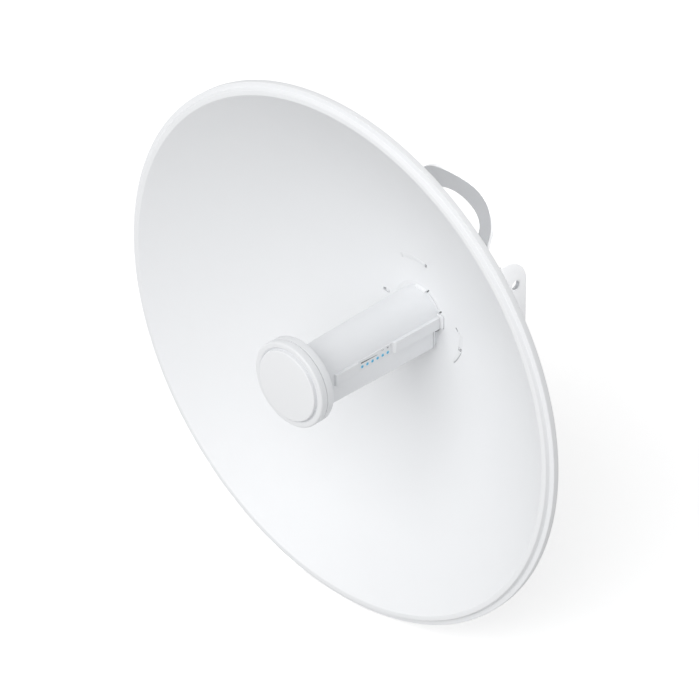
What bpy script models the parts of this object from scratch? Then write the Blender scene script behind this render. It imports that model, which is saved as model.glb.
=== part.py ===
"""Wireless bridge dish antenna, 420 mm across, with its feed and pole bracket.

Metres, +Z up. The dish faces -Y and its lamp side faces +X. The origin is on
the flat rear face of the pole bracket, which faces +Y.
Lengths below are in millimetres. A point on the head is often given by its
station, the distance in front of the bowl's vertex along the boresight.
"""
import bpy
import bmesh
import math
from mathutils import Matrix, Vector

MM = 0.001
GAP = 0.3                     # what touching pieces keep between them

# Where the bowl lies from the bracket's rear face
AXIS_HEIGHT = 90.0            # boresight above the origin
VERTEX_BEHIND = 92.0          # bowl's vertex to the bracket's rear face

# Reflector
RIM_RADIUS = 210.0
BOWL_RADIUS = 201.4           # the bowl's front edge, foremost on the dish
BOWL_DEPTH = 87.0             # vertex to that edge
FOCAL_LENGTH = BOWL_RADIUS ** 2 / (4 * BOWL_DEPTH)
SHEET = 1.6
# Brim from the lip's rear edge inwards: radius, and distance behind the bowl's edge
BRIM = ((RIM_RADIUS, 8.2), (RIM_RADIUS, 5.2), (209.4, 4.2), (208.2, 3.3), (206.3, 2.3),
        (205.6, 3.0), (204.9, 1.7), (203.2, 0.7), (202.1, 0.1))
HUB_HOLE_RADIUS = 23.8
BOWL_RINGS = 11
ROUND_STEPS = 72

# Bayonet slots round the hub, the tabs seen in them and a locating notch
SLOTS = ((93.0, 14.0), (-15.5, 17.0), (219.0, 17.0))    # middle and half angle
SLOT_RADIUS = 45.2
SLOT_WIDTH = 3.8
TAB_WIDTH = 2.6
TAB_SHORTER = 4.0             # degrees left open at each end of a slot
NOTCH_ANGLE = 171.0
NOTCH_INNER = 27.0
NOTCH_OUTER = 33.0
NOTCH_HALF_WIDTH = 1.2

# Feed tube, an arch section that narrows towards the cap
TUBE_HALF_WIDTH = 20.0
TUBE_BOTTOM = -21.0
TUBE_CORNER = 1.5
TUBE_START = 2.4
TUBE_END = 113.0
TUBE_DRAFT = 0.07             # share of the section lost from start to end
PANEL_HALF_WIDTH = 15.0
PANEL_THICKNESS = 1.6
NECK_RADIUS = 16.0
COLLAR_RADIUS = 23.4
COLLAR_FRONT = 2.1

# Side strip and its lamps
STRIP_HALF_HEIGHT = 5.2
STRIP_THICKNESS = 1.6
STRIP_END = 105.0
WINDOW_START = 48.0
WINDOW_END = 85.0
WINDOW_MARGIN = 1.4
WINDOW_SET_BACK = 0.7
LAMP_COUNT = 6
LAMP_PITCH = 5.02
FIRST_LAMP = 78.8
LAMP_HEIGHT = -0.3
LAMP_RADIUS = 1.0
LAMP_THICKNESS = 0.5

# Sub-reflector cap
CAP_RADIUS = 33.2
CAP_START = 119.6
CAP_SEAM = 126.2
CAP_END = 132.4
DISC_RADIUS = 27.3
DISC_RISE = 1.9
DISC_GROOVE_RADIUS = 28.8
DISC_GROOVE_DEPTH = 1.2

# Rear housing
HOUSING_RADIUS = 48.0
HOUSING_REAR = -24.0
HOUSING_CLEARANCE = 0.6       # to the back of the bowl
COVER_REAR = -30.0
PORT_HALF_WIDTH = 13.0
PORT_FRONT = -10.0
PORT_REAR = -22.0
PORT_HEIGHT = 3.7
INLET_RADIUS = 4.0
INLET_STATION = -16.0

# Rear loop, a flat arch behind the dish: side and height about the boresight
LOOP_FRONT = -33.0
LOOP_THICKNESS = 4.0
LOOP_OUTER = ((0, 101.0), (6, 101.0), (12, 100.7), (18, 99.6), (23.5, 97.7), (28.5, 94.6),
              (32.4, 90.3), (35.0, 85.0), (36.5, 79.0), (37.0, 72.5), (36.4, 66.0), (35.0, 59.5),
              (33.6, 53.0), (32.9, 46.0))
LOOP_INNER = ((20.2, 44.5), (21.2, 50.0), (23.0, 56.0), (24.9, 62.2), (26.0, 68.4), (25.3, 74.6),
              (22.8, 79.6), (18.4, 83.4), (12.6, 85.9), (6.5, 87.1), (0, 87.4))
LOOP_FOOT_RADIUS = 6.2
LOOP_SCREW_X = 26.5
LOOP_SCREW_Z = 36.5
SPACER_RADIUS = 5.5

# Tilt pivot and the bracket's ears, drawn by station and height about the boresight
PIVOT_STATION = -71.0
EAR_OUTER = 27.2
EAR_SHEET = 2.2
EAR_REAR = -82.1
EAR_TOP = 24.9
EAR_REAR_CORNER = 24.1
EAR_FRONT_CORNER = 3.0
EAR_FRONT_EDGE = ((-49, 2), (-42, -16), (-43, -26), (-50, -39), (-62, -58))
EAR_FOOT = -72.0
EAR_WEB_TURN = -46.0          # height where the rear edge starts to run to the web
BEND_RADIUS = 4.5
WEB_HALF_HEIGHT = 34.0
BOLT_HOLE_RADIUS = 3.5
BOLT_HOLE_X = 15.0
BOLT_HOLE_Z = 22.0

# Yoke, its bushes and the lock bolts
YOKE_SHEET = 2.0
YOKE_BEND = 4.0
YOKE_TOP = 22.0
YOKE_BOTTOM = -30.0
YOKE_ARM_RADIUS = 11.5
YOKE_LOCK_RADIUS = 8.0
PIVOT_BORE = 3.7
BUSH_RADIUS = 4.8
FLANGE_RADIUS = 6.4
FLANGE_THICKNESS = 1.0
SLOT_PIVOT_RADIUS = 30.0
SLOT_PIVOT_ANGLE = 25.0       # of the lock bolt, forward from straight down
TILT_RANGE = 20.0
LOCK_SHANK_RADIUS = 3.0
LOCK_SLOT_RADIUS = 3.4
NUT_RADIUS = 5.8


def clear_scene():
    for item in list(bpy.data.objects):
        bpy.data.objects.remove(item, do_unlink=True)


def make_collection(name):
    group = bpy.data.collections.new(name)
    bpy.context.scene.collection.children.link(group)
    return group


def make_material(name, colour, roughness, metallic=0.0):
    material = bpy.data.materials.new(name)
    material.use_nodes = True
    shader = material.node_tree.nodes["Principled BSDF"]
    shader.inputs["Base Color"].default_value = (*colour, 1.0)
    shader.inputs["Roughness"].default_value = roughness
    shader.inputs["Metallic"].default_value = metallic
    return material


clear_scene()
PARTS = make_collection("dish_antenna")
CUTTERS = make_collection("cutters")
POWDER_COAT = make_material("white_powder_coat", (0.86, 0.87, 0.88), 0.45)
WHITE_PLASTIC = make_material("white_plastic", (0.84, 0.85, 0.86), 0.4)
GREY_PLASTIC = make_material("grey_plastic", (0.55, 0.57, 0.6), 0.5)
ZINC = make_material("zinc_plate", (0.7, 0.71, 0.72), 0.35, 1.0)
BLUE_LENS = make_material("blue_lens", (0.1, 0.45, 0.85), 0.3)


def head_point(x, station, height):
    """World place of a point given by side, station and height about the boresight."""
    return Vector((x, -VERTEX_BEHIND - station, AXIS_HEIGHT + height)) * MM


# Local z of turned and flat head pieces runs forward, local y runs up.
HEAD_FRAME = Matrix.Translation(head_point(0, 0, 0)) @ Matrix(
    ((1, 0, 0, 0), (0, 0, -1, 0), (0, 1, 0, 0), (0, 0, 0, 1)))
# Local x is the station and local y the height, extruded along -X.
SIDE_FRAME = Matrix.Translation(head_point(0, 0, 0)) @ Matrix(
    ((0, 0, -1, 0), (-1, 0, 0, 0), (0, 1, 0, 0), (0, 0, 0, 1)))


def bowl_station(radius):
    return radius ** 2 / (4 * FOCAL_LENGTH)


def add_object(name, mesh, material=None, frame=Matrix.Identity(4)):
    """Link a mesh as a part, or as a cutter where no material is given."""
    item = bpy.data.objects.new(name, mesh)
    item.matrix_world = frame
    if material:
        mesh.materials.append(material)
        PARTS.objects.link(item)
    else:
        item.hide_render = True
        item.display_type = "WIRE"
        CUTTERS.objects.link(item)
    return item


def shade(item):
    item.data.shade_smooth()
    item.data.set_sharp_from_angle(angle=math.radians(35))


def box(name, low, high, material=None, bevel=0.0):
    """A box between two corners given as side, station and height."""
    shape = bmesh.new()
    bmesh.ops.create_cube(shape, size=1.0)
    mesh = bpy.data.meshes.new(name)
    corners = (head_point(*low), head_point(*high))
    size = [abs(corners[1][i] - corners[0][i]) for i in range(3)]
    bmesh.ops.scale(shape, vec=size, verts=shape.verts)
    shape.to_mesh(mesh)
    shape.free()
    item = add_object(name, mesh, material, Matrix.Translation((corners[0] + corners[1]) / 2))
    if bevel:
        soften(item, bevel)
    return item


def soften(item, width, segments=2):
    edge = item.modifiers.new("soft_edges", "BEVEL")
    edge.width = width * MM
    edge.segments = segments
    edge.limit_method = "ANGLE"
    edge.angle_limit = math.radians(50)


def rod(name, radius, start, end, material=None, sides=24):
    """A straight round bar between two points given as side, station and height."""
    first, last = head_point(*start), head_point(*end)
    shape = bmesh.new()
    bmesh.ops.create_cone(shape, cap_ends=True, segments=sides, radius1=radius * MM,
                          radius2=radius * MM, depth=(last - first).length)
    mesh = bpy.data.meshes.new(name)
    shape.to_mesh(mesh)
    shape.free()
    turn = Vector((0, 0, 1)).rotation_difference(last - first).to_matrix().to_4x4()
    item = add_object(name, mesh, material, Matrix.Translation((first + last) / 2) @ turn)
    shade(item)
    return item


def turned(name, profile, material=None, steps=ROUND_STEPS, closed=True):
    """A profile of radius and station points, turned round the boresight.

    A solid profile starts and ends on the axis and runs from front to rear.
    """
    mesh = bpy.data.meshes.new(name)
    points = [(radius * MM, 0, station * MM) for radius, station in profile]
    edges = [(i, i + 1) for i in range(len(points) - 1)]
    mesh.from_pydata(points, edges, [])
    item = add_object(name, mesh, material, HEAD_FRAME)
    screw = item.modifiers.new("turn", "SCREW")
    screw.steps = steps
    screw.render_steps = steps
    screw.use_merge_vertices = closed
    screw.merge_threshold = 0.00001
    return item


def arc(centre_x, centre_y, radius, first, last, count):
    """Points along an arc, angles in degrees."""
    points = []
    for step in range(count + 1):
        angle = math.radians(first + (last - first) * step / count)
        points.append((centre_x + radius * math.cos(angle), centre_y + radius * math.sin(angle)))
    return points


def banana(radius, width, centre, half_angle):
    """Outline of an arc-shaped slot with round ends, about the origin."""
    half = width / 2
    outline = arc(0, 0, radius + half, centre - half_angle, centre + half_angle, 10)
    for side, turn in ((1, 0), (-1, 180)):
        angle = math.radians(centre + side * half_angle)
        end = (radius * math.cos(angle), radius * math.sin(angle))
        start = centre + side * half_angle + turn
        if side == 1:
            outline += arc(*end, half, start, start + 180, 6)[1:-1]
            outline += arc(0, 0, radius - half, centre + half_angle, centre - half_angle, 10)
        else:
            outline += arc(*end, half, start, start + 180, 6)[1:-1]
    return outline


def flat(name, outlines, frame, low, high, material=None):
    """A flat outline, with any holes, extruded from low to high along its frame's z."""
    curve = bpy.data.curves.new(name, "CURVE")
    curve.dimensions = "2D"
    curve.fill_mode = "BOTH"
    curve.extrude = (high - low) / 2 * MM
    for outline in outlines:
        spline = curve.splines.new("POLY")
        spline.points.add(len(outline) - 1)
        for point, (x, y) in zip(spline.points, outline):
            point.co = (x * MM, y * MM, 0, 1)
        spline.use_cyclic_u = True
    source = bpy.data.objects.new(name + "_outline", curve)
    CUTTERS.objects.link(source)
    bpy.context.view_layer.update()
    view = bpy.context.evaluated_depsgraph_get()
    mesh = bpy.data.meshes.new_from_object(source.evaluated_get(view))
    bpy.data.objects.remove(source, do_unlink=True)
    mesh.materials.clear()
    shape = bmesh.new()
    shape.from_mesh(mesh)
    bmesh.ops.remove_doubles(shape, verts=shape.verts, dist=0.00001)
    bmesh.ops.recalc_face_normals(shape, faces=shape.faces)
    shape.to_mesh(mesh)
    shape.free()
    middle = Matrix.Translation((0, 0, (low + high) / 2 * MM))
    return add_object(name, mesh, material, frame @ middle)


def combine(item, tool, operation="DIFFERENCE"):
    change = item.modifiers.new(operation.lower(), "BOOLEAN")
    change.operation = operation
    change.object = tool
    change.solver = "EXACT"


def narrow(item, low, high):
    """Taper a flat piece of the feed towards the cap, about the boresight."""
    for vertex in item.data.vertices:
        station = (low + high) / 2 + vertex.co.z / MM
        factor = feed_scale(station)
        vertex.co.x *= factor
        vertex.co.y *= factor
    return item


def feed_scale(station):
    return 1 - TUBE_DRAFT * (station - TUBE_START) / (TUBE_END - TUBE_START)


def rectangle(left, right, bottom, top):
    return [(left, bottom), (right, bottom), (right, top), (left, top)]


def reflector():
    """Pressed bowl with a grooved brim and a lip turned back at the edge."""
    profile = [(radius, BOWL_DEPTH - behind) for radius, behind in BRIM]
    for ring in range(BOWL_RINGS + 1):
        radius = BOWL_RADIUS + (HUB_HOLE_RADIUS - BOWL_RADIUS) * ring / BOWL_RINGS
        profile.append((radius, bowl_station(radius)))
    dish = turned("reflector", profile, POWDER_COAT, closed=False)
    shell = dish.modifiers.new("sheet", "SOLIDIFY")
    shell.thickness = SHEET * MM
    shell.offset = 1.0
    shell.use_even_offset = True
    for number, (angle, half_angle) in enumerate(SLOTS, start=1):
        outline = banana(SLOT_RADIUS, SLOT_WIDTH, angle, half_angle)
        combine(dish, flat(f"slot_cutter_{number}", [outline], HEAD_FRAME, -8, 12))
    notch = rectangle(NOTCH_INNER, NOTCH_OUTER, -NOTCH_HALF_WIDTH, NOTCH_HALF_WIDTH)
    turn = Matrix.Rotation(math.radians(NOTCH_ANGLE), 4, "Z")
    combine(dish, flat("notch_cutter", [notch], HEAD_FRAME @ turn, -8, 12))


def bayonet_tabs():
    """Tabs of the rear housing, seen in the dish's slots."""
    low = housing_front(SLOT_RADIUS) + 1.2 * GAP
    high = bowl_station(SLOT_RADIUS) - 0.4
    for number, (angle, half_angle) in enumerate(SLOTS, start=1):
        outline = banana(SLOT_RADIUS, TAB_WIDTH, angle, half_angle - TAB_SHORTER)
        flat(f"bayonet_tab_{number}", [outline], HEAD_FRAME, low, high, WHITE_PLASTIC)


def housing_front(radius):
    """Station of the housing's front, which follows the back of the bowl."""
    return bowl_station(radius) - SHEET - HOUSING_CLEARANCE


def arch_outline():
    """Section of the feed tube: round top, upright sides and a flat bottom."""
    half = TUBE_HALF_WIDTH
    low = TUBE_BOTTOM + TUBE_CORNER
    outline = arc(0, 0, half, 0, 180, 24)
    outline += arc(-half + TUBE_CORNER, low, TUBE_CORNER, 180, 270, 3)
    outline += arc(half - TUBE_CORNER, low, TUBE_CORNER, 270, 360, 3)
    return outline


def feed():
    """Feed tube, its bottom panel, the neck at its front and the collar at its root."""
    narrow(flat("feed_tube", [arch_outline()], HEAD_FRAME, TUBE_START, TUBE_END, WHITE_PLASTIC),
           TUBE_START, TUBE_END)
    top = TUBE_BOTTOM - 1.2 * GAP
    panel = rectangle(-PANEL_HALF_WIDTH, PANEL_HALF_WIDTH, top - PANEL_THICKNESS, top)
    low, high = TUBE_START + 6, TUBE_END - 6
    narrow(flat("feed_bottom_panel", [panel], HEAD_FRAME, low, high, WHITE_PLASTIC), low, high)
    rod("feed_neck", NECK_RADIUS, (0, TUBE_END + GAP, 0), (0, CAP_START - GAP, 0),
        WHITE_PLASTIC, sides=40)
    rear = housing_front(HUB_HOLE_RADIUS) + GAP
    root = rod("hub_collar", COLLAR_RADIUS, (0, rear, 0), (0, COLLAR_FRONT, 0), WHITE_PLASTIC,
               sides=48)
    soften(root, 0.4)


def side_strip():
    """Raised strip on the lamp side, with a window and a row of lamps in it."""
    inner = TUBE_HALF_WIDTH + 1.2 * GAP
    outer = inner + STRIP_THICKNESS
    section = rectangle(inner, outer, -STRIP_HALF_HEIGHT, STRIP_HALF_HEIGHT)
    strip = narrow(flat("side_strip", [section], HEAD_FRAME, TUBE_START, STRIP_END,
                        WHITE_PLASTIC), TUBE_START, STRIP_END)
    soften(strip, 0.4)
    half = STRIP_HALF_HEIGHT - WINDOW_MARGIN
    combine(strip, box("window_cutter", (inner - 4, WINDOW_START, -half),
                       (outer + 2, WINDOW_END, half)))
    face = outer - WINDOW_SET_BACK
    pane = rectangle(inner, face, -half + GAP, half - 2 * GAP)
    low, high = WINDOW_START + GAP, WINDOW_END - GAP
    narrow(flat("lamp_window", [pane], HEAD_FRAME, low, high, GREY_PLASTIC), low, high)
    for number in range(LAMP_COUNT):
        station = FIRST_LAMP - number * LAMP_PITCH
        start = face * feed_scale(station) + 1.5 * GAP
        rod(f"lamp_{number + 1}", LAMP_RADIUS, (start, station, LAMP_HEIGHT),
            (start + LAMP_THICKNESS, station, LAMP_HEIGHT), BLUE_LENS, sides=16)


def cap():
    """Round sub-reflector cap in three turned pieces."""
    turned("cap_base", [(0, CAP_SEAM - GAP / 2), (CAP_RADIUS - 0.4, CAP_SEAM - GAP / 2),
                        (CAP_RADIUS, CAP_SEAM - 0.6), (CAP_RADIUS, CAP_START + 1.0),
                        (CAP_RADIUS - 1.0, CAP_START), (0, CAP_START)], WHITE_PLASTIC)
    floor = CAP_END - DISC_GROOVE_DEPTH
    turned("cap_ring", [(0, floor), (DISC_GROOVE_RADIUS, floor), (DISC_GROOVE_RADIUS, CAP_END),
                        (CAP_RADIUS - 1.4, CAP_END), (CAP_RADIUS - 0.4, CAP_END - 0.5),
                        (CAP_RADIUS, CAP_END - 1.5), (CAP_RADIUS, CAP_SEAM + 0.6),
                        (CAP_RADIUS - 0.4, CAP_SEAM + GAP / 2), (0, CAP_SEAM + GAP / 2)],
           WHITE_PLASTIC)
    front = CAP_END + DISC_RISE
    turned("cap_disc", [(0, front), (DISC_RADIUS - 0.7, front), (DISC_RADIUS, front - 0.7),
                        (DISC_RADIUS, floor + GAP), (0, floor + GAP)], WHITE_PLASTIC)


def rear_housing():
    """Round radio housing behind the hub, with its cover, port door and cable inlet."""
    hub = HUB_HOLE_RADIUS
    middle = (hub + HOUSING_RADIUS) / 2
    edge = HOUSING_RADIUS - 2.5
    turned("rear_housing", [(0, housing_front(hub)), (hub, housing_front(hub)),
                            (middle, housing_front(middle)), (edge, housing_front(edge)),
                            (HOUSING_RADIUS, housing_front(edge) - 1.5),
                            (HOUSING_RADIUS, HOUSING_REAR), (0, HOUSING_REAR)],
           WHITE_PLASTIC, steps=60)
    cover_front = HOUSING_REAR - GAP
    turned("rear_cover", [(0, cover_front), (HOUSING_RADIUS, cover_front),
                          (HOUSING_RADIUS, COVER_REAR + 2.5), (HOUSING_RADIUS - 2.5, COVER_REAR),
                          (0, COVER_REAR)], WHITE_PLASTIC, steps=60)
    top = -HOUSING_RADIUS - GAP
    box("port_door", (-PORT_HALF_WIDTH, PORT_REAR, top - PORT_HEIGHT),
        (PORT_HALF_WIDTH, PORT_FRONT, top), WHITE_PLASTIC, bevel=0.8)
    foot = top - PORT_HEIGHT - GAP
    rod("cable_inlet", INLET_RADIUS, (0, INLET_STATION, foot), (0, INLET_STATION, foot - 5),
        GREY_PLASTIC)


def rear_loop():
    """Flat arch that stands over the rear housing on two spacers."""
    foot = arc(LOOP_SCREW_X, LOOP_SCREW_Z, LOOP_FOOT_RADIUS, 0, -180, 8)
    right = list(LOOP_OUTER) + foot + list(LOOP_INNER)
    left = [(-x, y) for x, y in reversed(right) if x > 0]
    rear = LOOP_FRONT - LOOP_THICKNESS
    loop = flat("rear_loop", [right + left], HEAD_FRAME, rear, LOOP_FRONT, POWDER_COAT)
    soften(loop, 1.1)
    for side, word in ((-1, "left"), (1, "right")):
        x = side * LOOP_SCREW_X
        rod(f"loop_spacer_{word}", SPACER_RADIUS, (x, COVER_REAR - GAP, LOOP_SCREW_Z),
            (x, LOOP_FRONT + GAP, LOOP_SCREW_Z), WHITE_PLASTIC)
        rod(f"loop_screw_{word}", 4.2, (x, rear - GAP, LOOP_SCREW_Z),
            (x, rear - GAP - 2.4, LOOP_SCREW_Z), ZINC)


def channel_outline(half_width, depth, sheet, bend):
    """U section seen from above: web at y = 0, arms along +y."""
    inside = bend - sheet
    outer = [(half_width, depth)] + arc(half_width - bend, bend, bend, 0, -90, 5)
    outer += arc(-half_width + bend, bend, bend, -90, -180, 5) + [(-half_width, depth)]
    thin = half_width - sheet
    inner = [(-thin, depth)] + arc(-half_width + bend, bend, inside, 180, 270, 4)
    inner += arc(half_width - bend, bend, inside, 270, 360, 4) + [(thin, depth)]
    return outer + inner


def lock_bolt_place():
    """Station and height of the lock bolt about the boresight."""
    angle = math.radians(SLOT_PIVOT_ANGLE)
    return (PIVOT_STATION + SLOT_PIVOT_RADIUS * math.sin(angle),
            -SLOT_PIVOT_RADIUS * math.cos(angle))


def pole_bracket():
    """Bent sheet bracket: rear web on the origin and two ears for the tilt pivot."""
    section = channel_outline(EAR_OUTER, 50, EAR_SHEET, BEND_RADIUS)
    # Local y of the section runs forward from the web's rear face.
    upright = Matrix(((1, 0, 0, 0), (0, -1, 0, 0), (0, 0, -1, 0), (0, 0, 0, 1)))
    bracket = flat("pole_bracket", [section], upright, -120, WEB_HALF_HEIGHT + 10, POWDER_COAT)
    rear = -VERTEX_BEHIND
    foot = -AXIS_HEIGHT - WEB_HALF_HEIGHT
    web_top = -AXIS_HEIGHT + WEB_HALF_HEIGHT
    side = arc(EAR_REAR + EAR_REAR_CORNER, EAR_TOP - EAR_REAR_CORNER, EAR_REAR_CORNER, 180, 90, 10)
    side += arc(EAR_FRONT_EDGE[0][0] - 2 * EAR_FRONT_CORNER, EAR_TOP - EAR_FRONT_CORNER,
                EAR_FRONT_CORNER, 85, 0, 3)
    side += list(EAR_FRONT_EDGE)
    side += [(EAR_FOOT, foot), (rear - 1, foot), (rear - 1, web_top), (rear + 1, web_top),
             (EAR_REAR, EAR_WEB_TURN)]
    combine(bracket, flat("bracket_outline", [side], SIDE_FRAME, -40, 40), "INTERSECT")
    wide = EAR_OUTER + 5
    combine(bracket, rod("pivot_cutter", BUSH_RADIUS + 0.2, (-wide, PIVOT_STATION, 0),
                         (wide, PIVOT_STATION, 0), sides=32))
    slot = banana(SLOT_PIVOT_RADIUS, 2 * LOCK_SLOT_RADIUS, SLOT_PIVOT_ANGLE - 90, TILT_RANGE + 0.5)
    shifted = [(x + PIVOT_STATION, y) for x, y in slot]
    combine(bracket, flat("tilt_slot_cutter", [shifted], SIDE_FRAME, -40, 40))
    for x in (-BOLT_HOLE_X, BOLT_HOLE_X):
        for z in (-BOLT_HOLE_Z, BOLT_HOLE_Z):
            hole = rod(f"bolt_hole_{x:+.0f}_{z:+.0f}", BOLT_HOLE_RADIUS,
                       (x, rear - 5, z - AXIS_HEIGHT), (x, rear + 5, z - AXIS_HEIGHT))
            combine(bracket, hole)


def tilt_yoke():
    """Bent sheet yoke on the rear cover, whose arms turn inside the bracket's ears."""
    half = EAR_OUTER - EAR_SHEET - GAP
    base = COVER_REAR - GAP
    section = channel_outline(half, 60, YOKE_SHEET, YOKE_BEND)
    yoke = flat("tilt_yoke", [section], Matrix.Translation(head_point(0, base, 0)), -60, 60,
                POWDER_COAT)
    station, height = lock_bolt_place()
    root = base - YOKE_SHEET - 4
    side = arc(PIVOT_STATION, 0, YOKE_ARM_RADIUS, 60, 250, 12)
    side += arc(station, height, YOKE_LOCK_RADIUS, 230, 300, 4)
    side += [(root, YOKE_BOTTOM), (base + 1, YOKE_BOTTOM), (base + 1, YOKE_TOP), (root, YOKE_TOP)]
    combine(yoke, flat("yoke_outline", [side], SIDE_FRAME, -40, 40), "INTERSECT")
    wide = EAR_OUTER + 5
    combine(yoke, rod("yoke_pivot_cutter", BUSH_RADIUS + GAP, (-wide, PIVOT_STATION, 0),
                      (wide, PIVOT_STATION, 0), sides=32))
    combine(yoke, rod("yoke_lock_cutter", LOCK_SHANK_RADIUS + GAP, (-wide, station, height),
                      (wide, station, height)))
    number = 0
    rear = base - YOKE_SHEET - GAP
    for x in (-12, 12):
        for z in (-20, 12):
            number += 1
            rod(f"yoke_screw_{number}", 3.8, (x, rear, z), (x, rear - 2.2, z), ZINC)


def pivot_bush(side, word):
    """Hollow flanged bush: fixed in the yoke's arm, turning in the bracket's ear."""
    arm_inner = EAR_OUTER - EAR_SHEET - GAP - YOKE_SHEET
    inner = arm_inner - GAP - FLANGE_THICKNESS
    bush = rod(f"pivot_bush_{word}", BUSH_RADIUS, (side * inner, PIVOT_STATION, 0),
               (side * EAR_OUTER, PIVOT_STATION, 0), ZINC, sides=32)
    flange = rod(f"bush_flange_{word}", FLANGE_RADIUS, (side * inner, PIVOT_STATION, 0),
                 (side * (arm_inner - GAP), PIVOT_STATION, 0), sides=32)
    combine(bush, flange, "UNION")
    combine(bush, rod(f"bush_bore_{word}", PIVOT_BORE, (side * 10, PIVOT_STATION, 0),
                      (side * (EAR_OUTER + 5), PIVOT_STATION, 0), sides=32))


def lock_bolt(side, word):
    """Round-headed bolt through the yoke's arm and the ear's arc slot, with its nut."""
    station, height = lock_bolt_place()
    arm_inner = EAR_OUTER - EAR_SHEET - GAP - YOKE_SHEET
    bolt = rod(f"lock_bolt_{word}", LOCK_SHANK_RADIUS, (side * (arm_inner - 2), station, height),
               (side * (EAR_OUTER + 9), station, height), ZINC)
    head = rod(f"bolt_head_{word}", 6.2, (side * (arm_inner - 3.4), station, height),
               (side * (arm_inner - GAP), station, height))
    combine(bolt, head, "UNION")
    nut = rod(f"lock_nut_{word}", NUT_RADIUS, (side * (EAR_OUTER + GAP), station, height),
              (side * (EAR_OUTER + 5.5), station, height), ZINC, sides=6)
    combine(nut, rod(f"nut_bore_{word}", LOCK_SHANK_RADIUS + GAP,
                     (side * EAR_OUTER, station, height),
                     (side * (EAR_OUTER + 8), station, height)))


reflector()
bayonet_tabs()
feed()
side_strip()
cap()
rear_housing()
rear_loop()
pole_bracket()
tilt_yoke()
for sign, label in ((-1, "left"), (1, "right")):
    pivot_bush(sign, label)
    lock_bolt(sign, label)
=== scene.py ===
"""Looks of the wireless bridge dish antenna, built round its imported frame.

Lengths are in millimetres and angles in degrees, and become metres and radians
where they are used. Only the studio and the camera's distance are in metres. A
point on the head is often given by its station, the distance in front of the
bowl's vertex along the boresight. A third value in a profile or an outline is
the radius of that corner.
"""
import math

import bmesh
import bpy
from mathutils import Matrix, Vector


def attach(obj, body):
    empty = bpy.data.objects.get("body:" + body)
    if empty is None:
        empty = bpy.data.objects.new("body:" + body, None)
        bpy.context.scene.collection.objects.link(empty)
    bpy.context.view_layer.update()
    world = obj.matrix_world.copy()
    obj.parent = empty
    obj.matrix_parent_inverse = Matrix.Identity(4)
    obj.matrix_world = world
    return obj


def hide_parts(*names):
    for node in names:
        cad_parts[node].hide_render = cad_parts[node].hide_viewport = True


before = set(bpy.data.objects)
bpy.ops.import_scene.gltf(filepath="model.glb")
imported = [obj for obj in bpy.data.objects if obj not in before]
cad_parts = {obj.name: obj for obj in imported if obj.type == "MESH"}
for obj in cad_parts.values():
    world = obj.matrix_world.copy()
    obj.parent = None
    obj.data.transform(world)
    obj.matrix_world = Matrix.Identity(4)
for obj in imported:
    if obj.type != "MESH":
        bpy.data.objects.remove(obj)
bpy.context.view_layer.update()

MM = 0.001
AXIS_HEIGHT = 90.0            # boresight above the origin
VERTEX_AHEAD = 92.0           # bowl's vertex in front of the bracket's rear face
SHEET_GAP = 0.3               # play between neighbouring sheets
SHARP_ANGLE = 32              # edges that bend more than this stay sharp
CUT_LOW = -6.0                # reach of the cutters through bowl and hub
CUT_HIGH = 10.0
SIDE_REACH = 40.0             # reach of the cutters through bracket and yoke, to each side

# Reflector
BOWL_RADIUS = 201.4
BOWL_DEPTH = 87.0
BOWL_RINGS = 46
FOCAL_LENGTH = BOWL_RADIUS ** 2 / (4 * BOWL_DEPTH)
RIM_RADIUS = 210.0
SHEET = 1.6
SLOT_RADIUS = 45.6
SLOT_WIDTH = 3.8
TOP_SLOT = (93.0, 15.5)       # middle and half sweep
LOWER_SLOT = (219.0, 17.5)
RIGHT_SLOT = (-33.4, 2.2)     # first and last angle
SLANT_START = -16.0           # where the right slot's outer edge begins to slant
SLANT_SWEEP = 17.3
TAB_INNER = 43.72
TAB_OUTER = 47.48
WEDGE_RADIUS = 45.4
NOTCH_ANGLE = 173.5
STUD_PLACE = (44.7, -13.4)    # radius and angle
# Slot number, first and last angle, inner and outer radius, rise over the bowl
SLOT_SHEETS = ((1, 78.7, 93.5, 43.8, 47.4, 0.3), (1, 93.55, 107.5, TAB_INNER, TAB_OUTER, 0.0),
               (1, 75.2, 76.6, 43.9, 47.3, 0.0), (1, 107.85, 110.6, 43.9, 47.3, 0.0),
               (2, -11.9, 2.1, TAB_INNER, TAB_OUTER, 0.0),
               (3, 202.2, 221.0, 43.8, 46.8, 0.1), (3, 224.6, 235.9, 43.75, 47.45, 0.0))

# Hub
HUB_HOLE_RADIUS = 23.8
HUB_LINE = (21.5, 0.38, 45.0, 18)   # radius, width, middle and half sweep
HUB_SLITS = (((6.9, 19.4), (7.8, 18.7), (10.5, 22.1), (9.6, 22.8)),
             ((19.4, 7.5), (20.2, 6.6), (23.1, 9.5), (22.3, 10.4)))
STEP_PLAY = 0.35              # gap round the strip's end plate

# Feed
TUBE_HALF_WIDTH = 20.0
TUBE_BOTTOM = -21.0
TUBE_CORNER = 1.5
TUBE_START = 2.4
TUBE_END = 113.0
TUBE_LENGTH = TUBE_END - TUBE_START
TUBE_DRAFT = 0.07
ROOT_BOTTOM = -4.9
BODY_START = 4.6
STRIP_HALF_HEIGHT = 5.0
STRIP_START = 2.3
STRIP_OUTER = 21.96
STRIP_END = 105.0
WINDOW_START = 47.8
WINDOW_END = 83.0
WINDOW_FACE = 20.2
LAMP_COUNT = 6
LAMP_PITCH = 5.06
FIRST_LAMP = 78.1
LAMP_HEIGHT = -1.35
MARK_HEIGHT = 1.65
CAP_RADIUS = 33.2
CAP_START = 119.6
CAP_SEAM = 126.2
CAP_END = 132.4
DISC_RADIUS = 27.3
DISC_RISE = 1.9

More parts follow.
